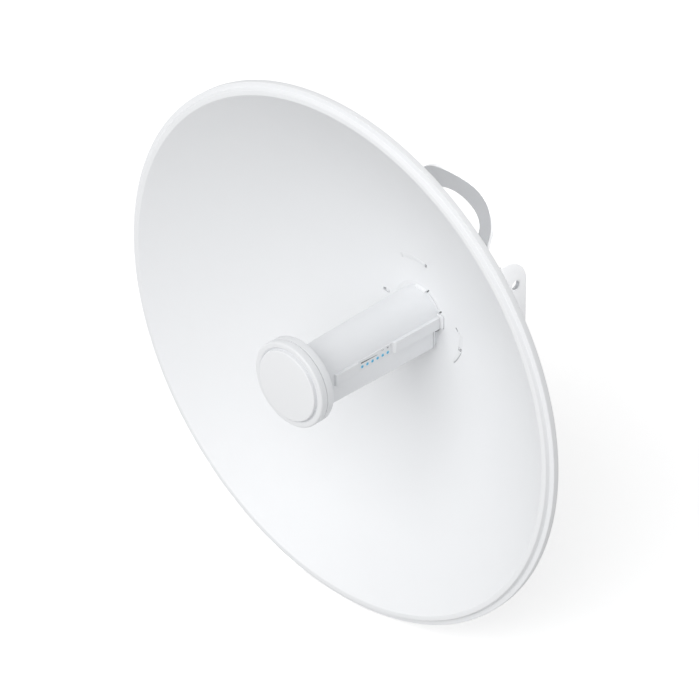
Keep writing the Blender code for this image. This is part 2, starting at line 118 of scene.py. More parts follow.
# Rear of the head
HOUSING_RADIUS = 48.0
HOUSING_REAR = -24.0
COVER_REAR = -30.0
PORT_DEPTH = 4.0
LOOP_FRONT = -33.0
LOOP_THICKNESS = 4.0
LOOP_OUTER = ((0, 100.5), (6, 100.5), (12, 100.1), (18, 99.1), (23.5, 97.3), (28.5, 94.5),
              (32.6, 90.5), (35.4, 85.2), (37.0, 79.2), (37.4, 72.8), (36.8, 66.0), (35.2, 59.5),
              (33.6, 53.0), (32.9, 46.0))
LOOP_INNER = ((20.2, 44.5), (21.2, 50.0), (23.0, 56.0), (24.9, 62.2), (25.9, 67.2), (25.5, 71.6),
              (24.1, 75.1), (21.7, 78.4), (18.7, 80.9), (14.0, 83.5), (8.0, 85.6), (0, 86.6))
LOOP_FOOT_RADIUS = 6.2
LOOP_SCREW_X = 26.5
LOOP_SCREW_Z = 36.5

# Bracket and yoke
PIVOT_STATION = -71.0
EAR_OUTER = 27.2
DRILL_REACH = EAR_OUTER + 5
EAR_SHEET = 2.2
EAR_REACH = 50.0
EAR_REAR = -82.1
EAR_TOP = 21.9
EAR_REAR_CORNER = 22.5
EAR_FRONT_CORNER = 3.0
EAR_FRONT_EDGE = ((-49, 2), (-42, -16), (-43, -26), (-50, -39), (-62, -58))
EAR_FOOT = -72.0
EAR_WEB_TURN = -46.0
BEND_RADIUS = 4.5
WEB_HALF_HEIGHT = 34.0
BOLT_HOLE_X = 15.0
BOLT_HOLE_Z = 22.0
BOLT_HOLE_RADIUS = 3.5
YOKE_SHEET = 2.0
YOKE_BEND = 4.0
YOKE_OUTER = EAR_OUTER - EAR_SHEET - SHEET_GAP
YOKE_INNER = YOKE_OUTER - YOKE_SHEET
YOKE_BASE = COVER_REAR - SHEET_GAP
YOKE_PIVOT_RADIUS = 11.5
YOKE_LOCK_RADIUS = 8.0
BUSH_RADIUS = 4.8
BUSH_FLANGE = 6.15
PIVOT_BORE = 3.85
ARC_SLOT_WIDTH = 6.8
ARC_SLOT_RADIUS = 30.0
LOCK_ANGLE = 25.0
LOCK_STATION = PIVOT_STATION + ARC_SLOT_RADIUS * math.sin(math.radians(LOCK_ANGLE))
LOCK_HEIGHT = -ARC_SLOT_RADIUS * math.cos(math.radians(LOCK_ANGLE))
LOCK_HOLE_RADIUS = 3.3
BOLT_RADIUS = 3.0
BOLT_HEAD_RADIUS = 6.2
BOLT_HEAD_HEIGHT = 3.1
THREAD_LENGTH = 9.6
THREAD_PITCH = 0.9
THREAD_TURNS = 10
WASHER_THICKNESS = 0.9
TILT_RANGE = 20.0

# Camera, fitted to the photograph
CAMERA_AZIMUTH = 44.86
CAMERA_ELEVATION = 34.82
CAMERA_DISTANCE = 4.0
CAMERA_STATION = 40.0         # point on the boresight that it looks at
CAMERA_RIGHT = -21.85         # offset of its aim from there, across and up the picture
CAMERA_UP = -12.53
FOCAL_PIXELS = 5619.32
FRAME_PIXELS = 700
SENSOR_WIDTH = 36

# Studio
FLOOR_HEIGHT = -0.1202
FLOOR_REACH = 6.0
FLOOR_GLOW = 0.31
SKY_BELOW = 0.44
SKY_ABOVE = 0.71


def head_point(x, station, height):
    """World place in metres of a point given by side, station and height."""
    return Vector((x, -VERTEX_AHEAD - station, AXIS_HEIGHT + height)) * MM


# Local z of turned and flat head pieces runs forward, local y runs up.
HEAD_FRAME = Matrix.Translation(head_point(0, 0, 0)) @ Matrix(
    ((1, 0, 0, 0), (0, 0, -1, 0), (0, 1, 0, 0), (0, 0, 0, 1)))
# Local x is the station and local y the height, extruded along -X.
SIDE_FRAME = Matrix.Translation(head_point(0, 0, 0)) @ Matrix(
    ((0, 0, -1, 0), (-1, 0, 0, 0), (0, 1, 0, 0), (0, 0, 0, 1)))
NOTCH_FRAME = HEAD_FRAME @ Matrix.Rotation(math.radians(NOTCH_ANGLE), 4, "Z")


def bowl_station(radius):
    """Station of the bowl's front face at a radius."""
    return radius ** 2 / (4 * FOCAL_LENGTH)


def feed_scale(station):
    """Width of the drafted feed at a station, as a share of its width at the hub."""
    return 1 - TUBE_DRAFT * (station - TUBE_START) / TUBE_LENGTH


# Materials
def new_material(name, colour, roughness, metallic=0.0):
    """Node material with its constants set on the shader."""
    material = bpy.data.materials.new(name)
    material.use_nodes = True
    shader = material.node_tree.nodes["Principled BSDF"]
    shader.inputs["Base Color"].default_value = (*colour, 1.0)
    shader.inputs["Roughness"].default_value = roughness
    shader.inputs["Metallic"].default_value = metallic
    return material


def noise(material, scale, detail=2.0, roughness=0.5):
    """Noise in the piece's own coordinates."""
    tree = material.node_tree
    place = tree.nodes.get("place") or tree.nodes.new("ShaderNodeTexCoord")
    place.name = "place"
    texture = tree.nodes.new("ShaderNodeTexNoise")
    texture.inputs["Scale"].default_value = scale
    texture.inputs["Detail"].default_value = detail
    texture.inputs["Roughness"].default_value = roughness
    tree.links.new(place.outputs["Object"], texture.inputs["Vector"])
    return texture.outputs["Fac"]


def map_range(tree, value, from_low, from_high, to_low, to_high):
    """Map a value from one range to another, clamped at both ends."""
    node = tree.nodes.new("ShaderNodeMapRange")
    for key, limit in (("From Min", from_low), ("From Max", from_high), ("To Min", to_low),
                       ("To Max", to_high)):
        node.inputs[key].default_value = limit
    tree.links.new(value, node.inputs["Value"])
    return node.outputs["Result"]


def tint(material, value, first, second):
    """Vary the base colour between two near shades."""
    tree = material.node_tree
    mix = tree.nodes.new("ShaderNodeMix")
    mix.data_type = "RGBA"
    mix.inputs["A"].default_value = (*first, 1.0)
    mix.inputs["B"].default_value = (*second, 1.0)
    tree.links.new(value, mix.inputs["Factor"])
    tree.links.new(mix.outputs["Result"], tree.nodes["Principled BSDF"].inputs["Base Color"])


def bump(material, value, depth, strength=1.0):
    """Raise the surface by a value, on top of any bump made before."""
    tree = material.node_tree
    node = tree.nodes.new("ShaderNodeBump")
    node.inputs["Distance"].default_value = depth * MM
    node.inputs["Strength"].default_value = strength
    target = tree.nodes["Principled BSDF"].inputs["Normal"]
    if target.links:
        tree.links.new(target.links[0].from_socket, node.inputs["Normal"])
    tree.links.new(value, node.inputs["Height"])
    tree.links.new(node.outputs["Normal"], target)


def roughen(material, value, low, high):
    """Vary the roughness over the middle of a noise's range."""
    tree = material.node_tree
    tree.links.new(map_range(tree, value, 0.3, 0.7, low, high),
                   tree.nodes["Principled BSDF"].inputs["Roughness"])


def powder_coat(name, colour, shade):
    """Satin powder coat: soft orange peel over a fine grain."""
    material = new_material(name, colour, 0.45)
    tint(material, noise(material, 14, 3), colour, shade)
    roughen(material, noise(material, 60, 3), 0.40, 0.50)
    bump(material, noise(material, 620, 1), 0.05, 0.5)
    bump(material, noise(material, 2600, 2), 0.015, 0.5)
    return material


def moulded(name, colour, shade, low=0.36, high=0.46, grain=0.02):
    """Injection-moulded plastic with a fine eroded texture."""
    material = new_material(name, colour, 0.4)
    tint(material, noise(material, 25, 3), colour, shade)
    roughen(material, noise(material, 90, 3), low, high)
    bump(material, noise(material, 1900, 3, 0.6), grain, 0.6)
    return material


def metal(name, colour, shade, low, high):
    """Zinc plate with a faint drawn grain."""
    material = new_material(name, colour, low, 1.0)
    tint(material, noise(material, 260, 4), colour, shade)
    roughen(material, noise(material, 900, 3), low, high)
    bump(material, noise(material, 1400, 2), 0.01, 0.5)
    return material


DISH_PAINT = powder_coat("dish_paint", (0.845, 0.855, 0.87), (0.83, 0.842, 0.858))
METAL_PAINT = powder_coat("bracket_paint", (0.81, 0.817, 0.83), (0.79, 0.798, 0.812))
# Mid grey used as painted shade: on the loop's flat faces, which sit in the dish's shade, on the
# bed in the right slot and on the ring behind the hub's marks.
PAINTED_SHADE_GREY = powder_coat("painted_shade_grey", (0.50, 0.505, 0.515), (0.485, 0.49, 0.50))
SHELL = moulded("white_shell", (0.81, 0.82, 0.835), (0.795, 0.807, 0.823))
SHELL_FINE = moulded("fine_shell", (0.835, 0.845, 0.86), (0.825, 0.835, 0.85), 0.30, 0.38, 0.008)
STRIP_SHELL = moulded("strip_shell", (0.79, 0.80, 0.815), (0.78, 0.79, 0.805), 0.30, 0.38, 0.008)
# Grey rubber of the cable seal; the same grey fills the dash and dot holes as painted shade.
SEAL_AND_SHADE_GREY = moulded("seal_and_shade_grey", (0.32, 0.33, 0.35), (0.28, 0.29, 0.31), 0.55, 0.65, 0.03)
# Near-black used as painted shade: in the hub's slits and under the strip's end.
PAINTED_SHADE_DARK = moulded("painted_shade_dark", (0.2, 0.205, 0.21), (0.23, 0.235, 0.24), 0.6, 0.7, 0.02)
PRINT = moulded("grey_print", (0.09, 0.1, 0.115), (0.12, 0.13, 0.145), 0.45, 0.55, 0.004)
PALE_PRINT = moulded("pale_print", (0.26, 0.27, 0.29), (0.3, 0.31, 0.33), 0.45, 0.55, 0.004)
LENS = moulded("lamp_lens", (0.16, 0.56, 0.80), (0.18, 0.60, 0.84), 0.14, 0.2, 0.003)
CORE = moulded("lamp_core", (0.004, 0.04, 0.2), (0.006, 0.05, 0.25), 0.2, 0.26, 0.003)
ZINC = metal("zinc_plate", (0.70, 0.71, 0.73), (0.60, 0.61, 0.64), 0.28, 0.42)
# Plated metal for the bush's bore, kept dark as painted shade inside the hole.
BORE_PLATE_AND_SHADE = metal("bore_plate_and_shade", (0.66, 0.67, 0.69), (0.60, 0.61, 0.63), 0.45, 0.6)


# Outlines
def polar(radius, angle):
    """Point at a radius and an angle."""
    turn = math.radians(angle)
    return (radius * math.cos(turn), radius * math.sin(turn))


def arc(centre_x, centre_y, radius, first, last, count):
    """Points along an arc."""
    points = []
    for step in range(count + 1):
        x, y = polar(radius, first + (last - first) * step / count)
        points.append((centre_x + x, centre_y + y))
    return points


def circle(radius, sides):
    return arc(0, 0, radius, 0, 360, sides)[:-1]


def hexagon(radius):
    return arc(0, 0, radius, 0, 300, 5)


def rectangle(left, right, bottom, top):
    return [(left, bottom), (right, bottom), (right, top), (left, top)]


def banana(radius, width, centre, half_angle, count=24):
    """Outline of an arc-shaped slot with round ends, about the origin."""
    half = width / 2
    first = centre - half_angle
    last = centre + half_angle
    outline = arc(0, 0, radius + half, first, last, count)
    outline += arc(*polar(radius, last), half, last, last + 180, 8)[1:-1]
    outline += arc(0, 0, radius - half, last, first, count)
    outline += arc(*polar(radius, first), half, first + 180, first + 360, 8)[1:-1]
    return outline


def rounded(points, radius, steps=4, closed=True):
    """A polyline with its corners rounded. A point's third value is its own radius."""
    result = []
    count = len(points)
    for index, point in enumerate(points):
        here = Vector(point[:2])
        size = point[2] if len(point) > 2 else radius
        if size <= 0 or (not closed and index in (0, count - 1)):
            result.append(tuple(here))
            continue
        before = Vector(points[index - 1][:2]) - here
        after = Vector(points[(index + 1) % count][:2]) - here
        angle = before.angle(after)
        if angle > math.radians(178):
            result.append(tuple(here))
            continue
        reach = min(size / math.tan(angle / 2), before.length * 0.48, after.length * 0.48)
        size = reach * math.tan(angle / 2)
        middle = (before.normalized() + after.normalized()).normalized()
        centre = here + middle * size / math.sin(angle / 2)
        start = here + before.normalized() * reach - centre
        end = here + after.normalized() * reach - centre
        sweep = math.atan2(start.x * end.y - start.y * end.x, start.dot(end))
        for step in range(steps + 1):
            turn = Matrix.Rotation(sweep * step / steps, 2)
            result.append(tuple(centre + turn @ start))
    return result


def smooth_outline(points, passes=2):
    """Cut the corners of an open polyline so that it reads as a curve, ends kept."""
    for _ in range(passes):
        result = [points[0]]
        for (x0, y0), (x1, y1) in zip(points, points[1:]):
            result.append((x0 * 0.75 + x1 * 0.25, y0 * 0.75 + y1 * 0.25))
            result.append((x0 * 0.25 + x1 * 0.75, y0 * 0.25 + y1 * 0.75))
        result.append(points[-1])
        points = result
    return points


def mirrored(points):
    """An outline's other half, run backwards, without the points on the middle line."""
    return [(-x, y) for x, y in reversed(points) if x > 0]


# Shapes
def add_object(name, mesh, material=None, place=None):
    """Link a mesh as a piece, or as a hidden cutter where no material is given."""
    item = bpy.data.objects.new(name, mesh)
    bpy.context.scene.collection.objects.link(item)
    if place is not None:
        item.matrix_world = place
    if material:
        mesh.materials.append(material)
    else:
        item.hide_render = True
        item.display_type = "WIRE"
    return item


def smooth_shade(mesh, angle=SHARP_ANGLE):
    """Shade smoothly, with the edges over an angle left sharp."""
    mesh.shade_smooth()
    mesh.set_sharp_from_angle(angle=math.radians(angle))


def from_bmesh(name, shape, material=None, place=None, angle=SHARP_ANGLE):
    """Turn an edited shape into a linked object."""
    bmesh.ops.recalc_face_normals(shape, faces=shape.faces)
    mesh = bpy.data.meshes.new(name)
    shape.to_mesh(mesh)
    shape.free()
    smooth_shade(mesh, angle)
    return add_object(name, mesh, material, place)


def lathe(name, profile, material, segments, ring=True, base=HEAD_FRAME):
    """Turn a profile of radius and station round the boresight or another frame's z."""
    shape = bmesh.new()
    rows = []
    for radius, station in profile:
        if radius < 0.001:
            rows.append([shape.verts.new((0, 0, station * MM))])
        else:
            rows.append([shape.verts.new((radius * math.cos(turn) * MM,
                                          radius * math.sin(turn) * MM, station * MM))
                         for turn in (math.tau * k / segments for k in range(segments))])
    pairs = list(zip(rows, rows[1:]))
    if ring:
        pairs.append((rows[-1], rows[0]))
    for first, second in pairs:
        for k in range(segments):
            after = (k + 1) % segments
            corners = []
            for vertex in (first[k % len(first)], first[after % len(first)],
                           second[after % len(second)], second[k % len(second)]):
                if vertex not in corners:
                    corners.append(vertex)
            if len(corners) > 2:
                shape.faces.new(corners)
    return from_bmesh(name, shape, material, base)


def turned(name, profile, material, segments, corner, steps, base=HEAD_FRAME):
    """Turned solid whose profile starts and ends on its axis, with rounded corners."""
    points = rounded(profile, corner, steps, closed=False)
    return lathe(name, points, material, segments, ring=False, base=base)


def skin(shape, sections):
    """Join a row of closed sections, each a list of points in metres, and close its ends."""
    rows = [[shape.verts.new(point) for point in section] for section in sections]
    for first, second in zip(rows, rows[1:]):
        for k in range(len(first)):
            after = (k + 1) % len(first)
            shape.faces.new((first[k], first[after], second[after], second[k]))
    shape.faces.new(rows[0])
    shape.faces.new(rows[-1])


def loft(name, sections, material=None, place=None, angle=SHARP_ANGLE):
    """Piece made of one row of sections."""
    shape = bmesh.new()
    skin(shape, sections)
    return from_bmesh(name, shape, material, place, angle)


def ring_piece(name, profile, first, last, material, count=28):
    """Sweep a closed profile of radius and station through part of a turn."""
    sections = []
    for step in range(count + 1):
        x, y = polar(MM, first + (last - first) * step / count)
        sections.append([(radius * x, radius * y, station * MM) for radius, station in profile])
    return loft(name, sections, material, HEAD_FRAME)


def plate(name, outlines, base, low, high, material=None, edge=0.0, steps=3):
    """A flat outline with any holes, extruded along its frame's z. An edge width rounds it."""
    curve = bpy.data.curves.new(name, "CURVE")
    curve.dimensions = "2D"
    curve.fill_mode = "BOTH"
    curve.extrude = (high - low) / 2 * MM
    for outline in outlines:
        spline = curve.splines.new("POLY")
        spline.points.add(len(outline) - 1)
        for point, (x, y) in zip(spline.points, outline):
            point.co = (x * MM, y * MM, 0, 1)
        spline.use_cyclic_u = True
    source = bpy.data.objects.new(name + "_outline", curve)
    bpy.context.scene.collection.objects.link(source)
    bpy.context.view_layer.update()
    view = bpy.context.evaluated_depsgraph_get()
    mesh = bpy.data.meshes.new_from_object(source.evaluated_get(view))
    bpy.data.objects.remove(source, do_unlink=True)
    mesh.materials.clear()
    shape = bmesh.new()
    shape.from_mesh(mesh)
    bpy.data.meshes.remove(mesh)
    bmesh.ops.remove_doubles(shape, verts=shape.verts, dist=0.000005)
    bmesh.ops.dissolve_limit(shape, angle_limit=math.radians(0.5), verts=shape.verts,
                             edges=shape.edges)
    middle = Matrix.Translation((0, 0, (low + high) / 2 * MM))
    item = from_bmesh(name, shape, material, base @ middle)
    if edge:
        soften(item, edge, steps)
    return item


def soften(item, width, segments=3):
    """Round the piece's sharp edges."""
    bevel = item.modifiers.new("soft_edges", "BEVEL")
    bevel.width = width * MM
    bevel.segments = segments
    bevel.limit_method = "ANGLE"
    bevel.angle_limit = math.radians(48)
    bevel.harden_normals = True


def combine(item, tool, operation="DIFFERENCE"):
    """Cut a piece with a tool, or keep only what lies inside the tool."""
    change = item.modifiers.new(operation.lower(), "BOOLEAN")
    change.operation = operation
    change.object = tool
    change.solver = "EXACT"


def cut(item, name, outline, base=HEAD_FRAME):
    """Cut an outline through a piece of the bowl or hub, along the boresight."""
    combine(item, plate(name, [outline], base, CUT_LOW, CUT_HIGH))


def cut_sideways(item, name, outline, operation="DIFFERENCE"):
    """Cut an outline of station and height through a piece, or keep what lies inside it."""
    combine(item, plate(name, [outline], SIDE_FRAME, -SIDE_REACH, SIDE_REACH), operation)


def aim(start, direction):
    """Frame at a point whose z runs along a direction."""
    turn = Vector((0, 0, 1)).rotation_difference(Vector(direction)).to_matrix().to_4x4()
    return Matrix.Translation(start) @ turn


def drill(item, name, radius, start, end):
    """Drill a round hole between two points given as side, station and height."""
    first, last = head_point(*start), head_point(*end)
    length = (last - first).length / MM
    combine(item, plate(name, [circle(radius, 48)], aim(first, last - first), 0, length))


def bake(item):
    """Apply the piece's modifiers, drop its cutters and mark its sharp edges again."""
    bpy.context.view_layer.update()
    view = bpy.context.evaluated_depsgraph_get()
    mesh = bpy.data.meshes.new_from_object(item.evaluated_get(view))
    tools = [m.object for m in item.modifiers if m.type == "BOOLEAN" and m.object]
    item.modifiers.clear()
    item.data = mesh
    for tool in tools:
        bpy.data.objects.remove(tool, do_unlink=True)
    smooth_shade(mesh)


def ready(item, nodes=(), body="head"):
    """Let a piece ride on its body, in place of the frame's nodes that it stands for."""
    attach(item, body)
    if nodes:
        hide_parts(*nodes)


def screw(name, place, radius, height, node):
    """Pan-head screw with a six-sided socket, its head rising along the frame's z."""
    profile = [(0, height), (radius * 0.62, height, 1.5), (radius, height * 0.45, 1.2),
               (radius, 0, 0.15), (0, 0)]
    item = turned(name, profile, ZINC, 40, 0.1, 4, place)
    combine(item, plate(name + "_socket", [hexagon(radius * 0.46)], place, height * 0.35,
                        height + 1))
    bake(item)
    soften(item, 0.12, 2)
    ready(item, [node])


# Reflector
def back_of_bowl(radius):
    """Point on the back of the sheet behind a radius of the bowl."""
    slope = math.atan(radius / (2 * FOCAL_LENGTH))
    return (radius + SHEET * math.sin(slope), bowl_station(radius) - SHEET * math.cos(slope))


def slant(start, end):
    """Slanted outer edge of the right slot, its radius changing with the angle."""
    return [polar(start + (end - start) * step / 10, SLANT_START - SLANT_SWEEP * step / 10)
            for step in range(11)]


def slant_wedge(start, end):
    """Outline between the right slot's inner edge and a slanted edge."""
    return arc(0, 0, TAB_INNER, SLANT_START - SLANT_SWEEP, SLANT_START, 12) + slant(start, end)


def right_slot():
    """Outline of the right slot, narrowing towards its lower end."""
    first, last = RIGHT_SLOT
    outline = arc(0, 0, SLOT_RADIUS - SLOT_WIDTH / 2, first, last, 24)
    outline += arc(0, 0, SLOT_RADIUS + SLOT_WIDTH / 2, last, SLANT_START + 0.1, 14)
    return outline + slant(47.95, 46.4)


def dash_outline():
    return rounded([(38.2, 4.6), (39.3, 5.4), (41.8, 3.1), (40.9, 2.2)], 0.25)


def dot_outline():
    return arc(42.6, 1.9, 0.5, 0, 345, 16)


def hub_step_outline(grow=0.0):
    """Outline of the plate that ends the lamp strip at the hub."""
    return rounded([(17.5, -4.1 - grow, 0.2), (25.2 + grow, -4.1 - grow, 1.6),
                    (25.2 + grow, 7.1 + grow, 1.8), (17.5, 6.6 + grow, 0.2)], 0.4, 5)


def dish():
    """Pressed bowl with a two-band brim, a groove and a lip turned back."""
    edge = BOWL_DEPTH
    face_end = BOWL_RADIUS - 0.9
    back_end = BOWL_RADIUS - 2.4
    profile = [(HUB_HOLE_RADIUS, bowl_station(HUB_HOLE_RADIUS) - 0.05),
               (HUB_HOLE_RADIUS + 0.05, bowl_station(HUB_HOLE_RADIUS))]
    for ring in range(1, BOWL_RINGS):
        radius = HUB_HOLE_RADIUS + (face_end - HUB_HOLE_RADIUS) * ring / BOWL_RINGS
        profile.append((radius, bowl_station(radius)))
    brim = [(face_end, bowl_station(face_end), 0), (BOWL_RADIUS, edge, 0.7),
            (205.1, edge - 0.1, 0.8), (206.3, edge - 3.1, 1.0), (RIM_RADIUS, edge - 3.2, 0.6),
            (RIM_RADIUS, edge - 8.2, 1.3), (RIM_RADIUS - SHEET, edge - 8.2, 0.5),
            (RIM_RADIUS - SHEET, edge - 4.8, 0.8), (205.4, edge - 4.7, 0.6),
            (204.0, edge - 1.8, 1.0), (202.2, edge - 2.6, 0)]
    profile += rounded(brim, 0.5, 4, closed=False)
    for ring in range(BOWL_RINGS):
        profile.append(back_of_bowl(back_end + (HUB_HOLE_RADIUS - back_end) * ring / BOWL_RINGS))
    profile.append((HUB_HOLE_RADIUS, back_of_bowl(HUB_HOLE_RADIUS)[1]))
    item = lathe("dish", profile, DISH_PAINT, 240)
    slots = (banana(SLOT_RADIUS, SLOT_WIDTH, *TOP_SLOT), right_slot(),
             banana(SLOT_RADIUS, SLOT_WIDTH, *LOWER_SLOT))
    for number, outline in enumerate(slots, start=1):
        cut(item, f"dish_slot_{number}", outline)
    cut(item, "dish_dash", dash_outline())
    cut(item, "dish_dot", dot_outline())
    cut(item, "dish_notch", rounded(rectangle(28.8, 34.6, -1.6, 1.6), 1.3), NOTCH_FRAME)
    cut(item, "dish_step", hub_step_outline(STEP_PLAY))
    for number, slit in enumerate(HUB_SLITS, start=1):
        cut(item, f"dish_slit_{number}", slit)
    bake(item)
    ready(item, ["reflector"])


def slot_tabs():
    """Bayonet sheets seen in the slots, flush with the bowl or a little over it."""
    replaced = set()
    for part, (number, first, last, inner, outer, rise) in enumerate(SLOT_SHEETS, start=1):
        low = bowl_station(inner) - 0.05 + rise
        high = bowl_station(outer) - 0.05 + rise
        profile = rounded([(inner, low - 1.5, 0.1), (inner, low, 0.15 + rise),
                           (outer, high, 0.15 + rise), (outer, high - 1.5, 0.1)], 0.3, 3)
        nodes = [] if number in replaced else [f"bayonet_tab_{number}"]
        ready(ring_piece(f"slot_tab_{part}", profile, first, last, SHELL, 16), nodes)
        replaced.add(number)


def slot_inserts():
    """Painted-shade bed in the right slot, painted-shade sheets in the dash and dot, the wedge, a
    painted-shade ring behind the hub, the stud and the tab in the notch.
    """
    level = bowl_station(WEDGE_RADIUS)
    # A grey sheet under the right slot's wedge, as painted shade in the slot.
    ready(plate("slot_painted_shade_bed", [slant_wedge(47.9, 46.35)], HEAD_FRAME, level - 1.7, level - 0.4,
                PAINTED_SHADE_GREY))
    # Grey sheets in the dash and dot holes, as painted shade in them.
    for name, outline in (("dash_painted_shade", dash_outline()), ("dot_painted_shade", dot_outline())):
        ready(plate(name, [outline], HEAD_FRAME, 2.0, 3.1, SEAL_AND_SHADE_GREY))
    ready(plate("slot_tab_wedge", [slant_wedge(46.95, 45.35)], HEAD_FRAME, level - 1.6, level,
                SHELL, 0.1, 2))
    # A grey ring just behind the bowl round the hub, as painted shade seen through the slots and
    # marks.
    shade_ring = [(radius, bowl_station(radius) - 1.72) for radius in range(28, 48)]
    shade_ring += [(radius, bowl_station(radius) - 2.1) for radius in range(47, 27, -1)]
    ready(lathe("hub_shade_ring", shade_ring, PAINTED_SHADE_GREY, 120))
    stud = [(0, 4.4), (0.75, 4.4, 0.3), (0.75, 2.4, 0), (0, 2.4)]
    x, y = polar(*STUD_PLACE)
    place = HEAD_FRAME @ Matrix.Translation((x * MM, y * MM, 0))
    ready(turned("slot_stud", stud, SHELL, 28, 0.1, 3, place))
    key = rounded(rectangle(29.2, 32.3, -1.35, 0.9), 0.4)
    ready(plate("notch_tab", [key], NOTCH_FRAME, 0.4, bowl_station(30.5) - 0.1, SHELL, 0.25))


def hub():
    """Hub floor round the feed, its bayonet lug and lip, the strip's end plate, and dark sheets as
    painted shade in the slits and under the strip's end.
    """
    face = bowl_station(HUB_HOLE_RADIUS)
    outer = HUB_HOLE_RADIUS - 0.02
    floor = [(0, 0.8), (19.4, 0.8), (21.6, face - 0.22, 0.6), (outer, face - 0.01, 0.03),
             (outer, -0.85, 0.1), (0, -0.85)]
    disc = turned("hub_floor", floor, SHELL, 144, 0.2, 3)
    cut(disc, "hub_line", banana(*HUB_LINE))
    for number, slit in enumerate(HUB_SLITS, start=1):
        cut(disc, f"hub_slit_{number}", slit)
    cut(disc, "hub_step_gap", hub_step_outline(STEP_PLAY))
    bake(disc)
    ready(disc, ["hub_collar"])
    lug = rounded([(19.6, 0.3, 0.1), (22.3, 0.3, 0.1), (22.2, 0.9, 0.2), (21.2, 2.4, 0.3),
                   (19.6, 2.7, 0.1)], 0.3, 4)
    ready(ring_piece("bayonet_lug", lug, 70.6, 97.0, SHELL))
    lip = rounded(rectangle(19.6, 21.2, 0.3, 1.35), 0.05, 2)
    ready(ring_piece("hub_lip", lip, 25.5, 64.0, SHELL))
    # Dark sheets filling the hub's slits, as painted shade in them.
    for number, slit in enumerate(HUB_SLITS, start=1):
        ready(plate(f"slit_seal_{number}", [slit], HEAD_FRAME, -0.4, 0.35, PAINTED_SHADE_DARK))
    # A dark block under the strip's end, as painted shade beneath it.
    ready(plate("strip_painted_shade", [rectangle(18.4, 21.5, -6.2, -4.9)], HEAD_FRAME, 1.9, 5.6,
                PAINTED_SHADE_DARK, 0.2))
    ready(plate("strip_end_plate", [hub_step_outline()], HEAD_FRAME, -0.5, 2.1, SHELL, 0.45))


# Feed
def feed_section(station, low, grow=0.0):
    """Arch section of the feed at a station, cut off at a height."""
    half = TUBE_HALF_WIDTH + grow
    outline = arc(0, 0, half, 0, 180, 40)
    outline += arc(-half + TUBE_CORNER, low + TUBE_CORNER, TUBE_CORNER, 180, 270, 4)
    outline += arc(half - TUBE_CORNER, low + TUBE_CORNER, TUBE_CORNER, 270, 360, 4)
    scale = feed_scale(station)
    return [head_point(x * scale, station, y * scale) for x, y in outline]


def feed_length(name, rows, nodes=()):
    """Length of the feed's body, from rows of station and inset."""
    sections = [feed_section(station, TUBE_BOTTOM + inset, -inset) for station, inset in rows]
    ready(loft(name, sections, SHELL), nodes)


def feed():
    """Feed tube with its root, pedestal and end plate, bottom panel and the neck at the cap."""
    rows = [(7.0, 0.0)] + [(14 + 11 * step, 0.0) for step in range(9)]
    feed_length("feed_shell", rows + [(TUBE_END - 0.6, 0.0), (TUBE_END, 0.5)], ["feed_tube"])
    root = [feed_section(station, ROOT_BOTTOM, 0.03) for station in (-0.4, 2.0, 9.0)]
    ready(loft("feed_root", root, SHELL))
    feed_length("feed_pedestal", [(-0.4, 1.3), (3.3, 1.3), (3.35, 2.2), (4.7, 2.2)])
    feed_length("feed_end_plate", [(BODY_START, 0.4), (BODY_START + 0.3, 0.03), (6.2, 0.03),
                                   (6.26, 1.3), (7.2, 1.3)])
    # Local x runs forward and z up, leaning with the tube's draft.
    below = Matrix.Translation(head_point(0, 0, 0)) @ Matrix(
        ((0, 1, 0, 0), (-1, 0, 0, 0), (0, 0, 1, 0), (0, 0, 0, 1)))
    lean = Matrix.Rotation(-math.atan(-TUBE_BOTTOM * TUBE_DRAFT / TUBE_LENGTH), 4, "Y")
    drop = Matrix.Translation((0, 0, (TUBE_BOTTOM - 0.35) * MM))
    panel = rounded(rectangle(8.5, 107, -15, 15), 2.5, 5)
    ready(plate("feed_panel", [panel], below @ drop @ lean, -1.6, 0, SHELL_FINE, 0.5),
          ["feed_bottom_panel"])
    neck = [(0, 113.2), (16, 113.2, 0.6), (16, 115.0, 0.5), (14.6, 115.6, 0.4),
            (14.6, 117.2, 0.4), (16, 117.8, 0.4), (16, 119.4, 0.4), (0, 119.4)]
    ready(turned("feed_throat", neck, SHELL, 96, 0.4, 4), ["feed_neck"])


def strip_section(station, outer):
    """Section of the side strip at a station."""
    half = STRIP_HALF_HEIGHT
    inner = TUBE_HALF_WIDTH - 0.9
    points = rounded([(inner, -half, 0), (outer, -half, 0.3), (outer, half, 0.3),
                      (inner, half, 0)], 0.3, 3)
    scale = feed_scale(station)
    return [head_point(x * scale, station, y * scale) for x, y in points]


def on_window(station, height=0.0):
    """Frame on the lamp window's face: x runs to the rear, y up and z out of the face."""
    place = head_point(WINDOW_FACE * feed_scale(station), station, 0)
    side = Matrix(((0, 0, 1, 0), (1, 0, 0, 0), (0, 1, 0, 0), (0, 0, 0, 1)))
    lean = Matrix.Rotation(-math.atan(WINDOW_FACE * TUBE_DRAFT / TUBE_LENGTH), 4, "Y")
    return Matrix.Translation(place) @ side @ lean @ Matrix.Translation((0, height * MM, 0))


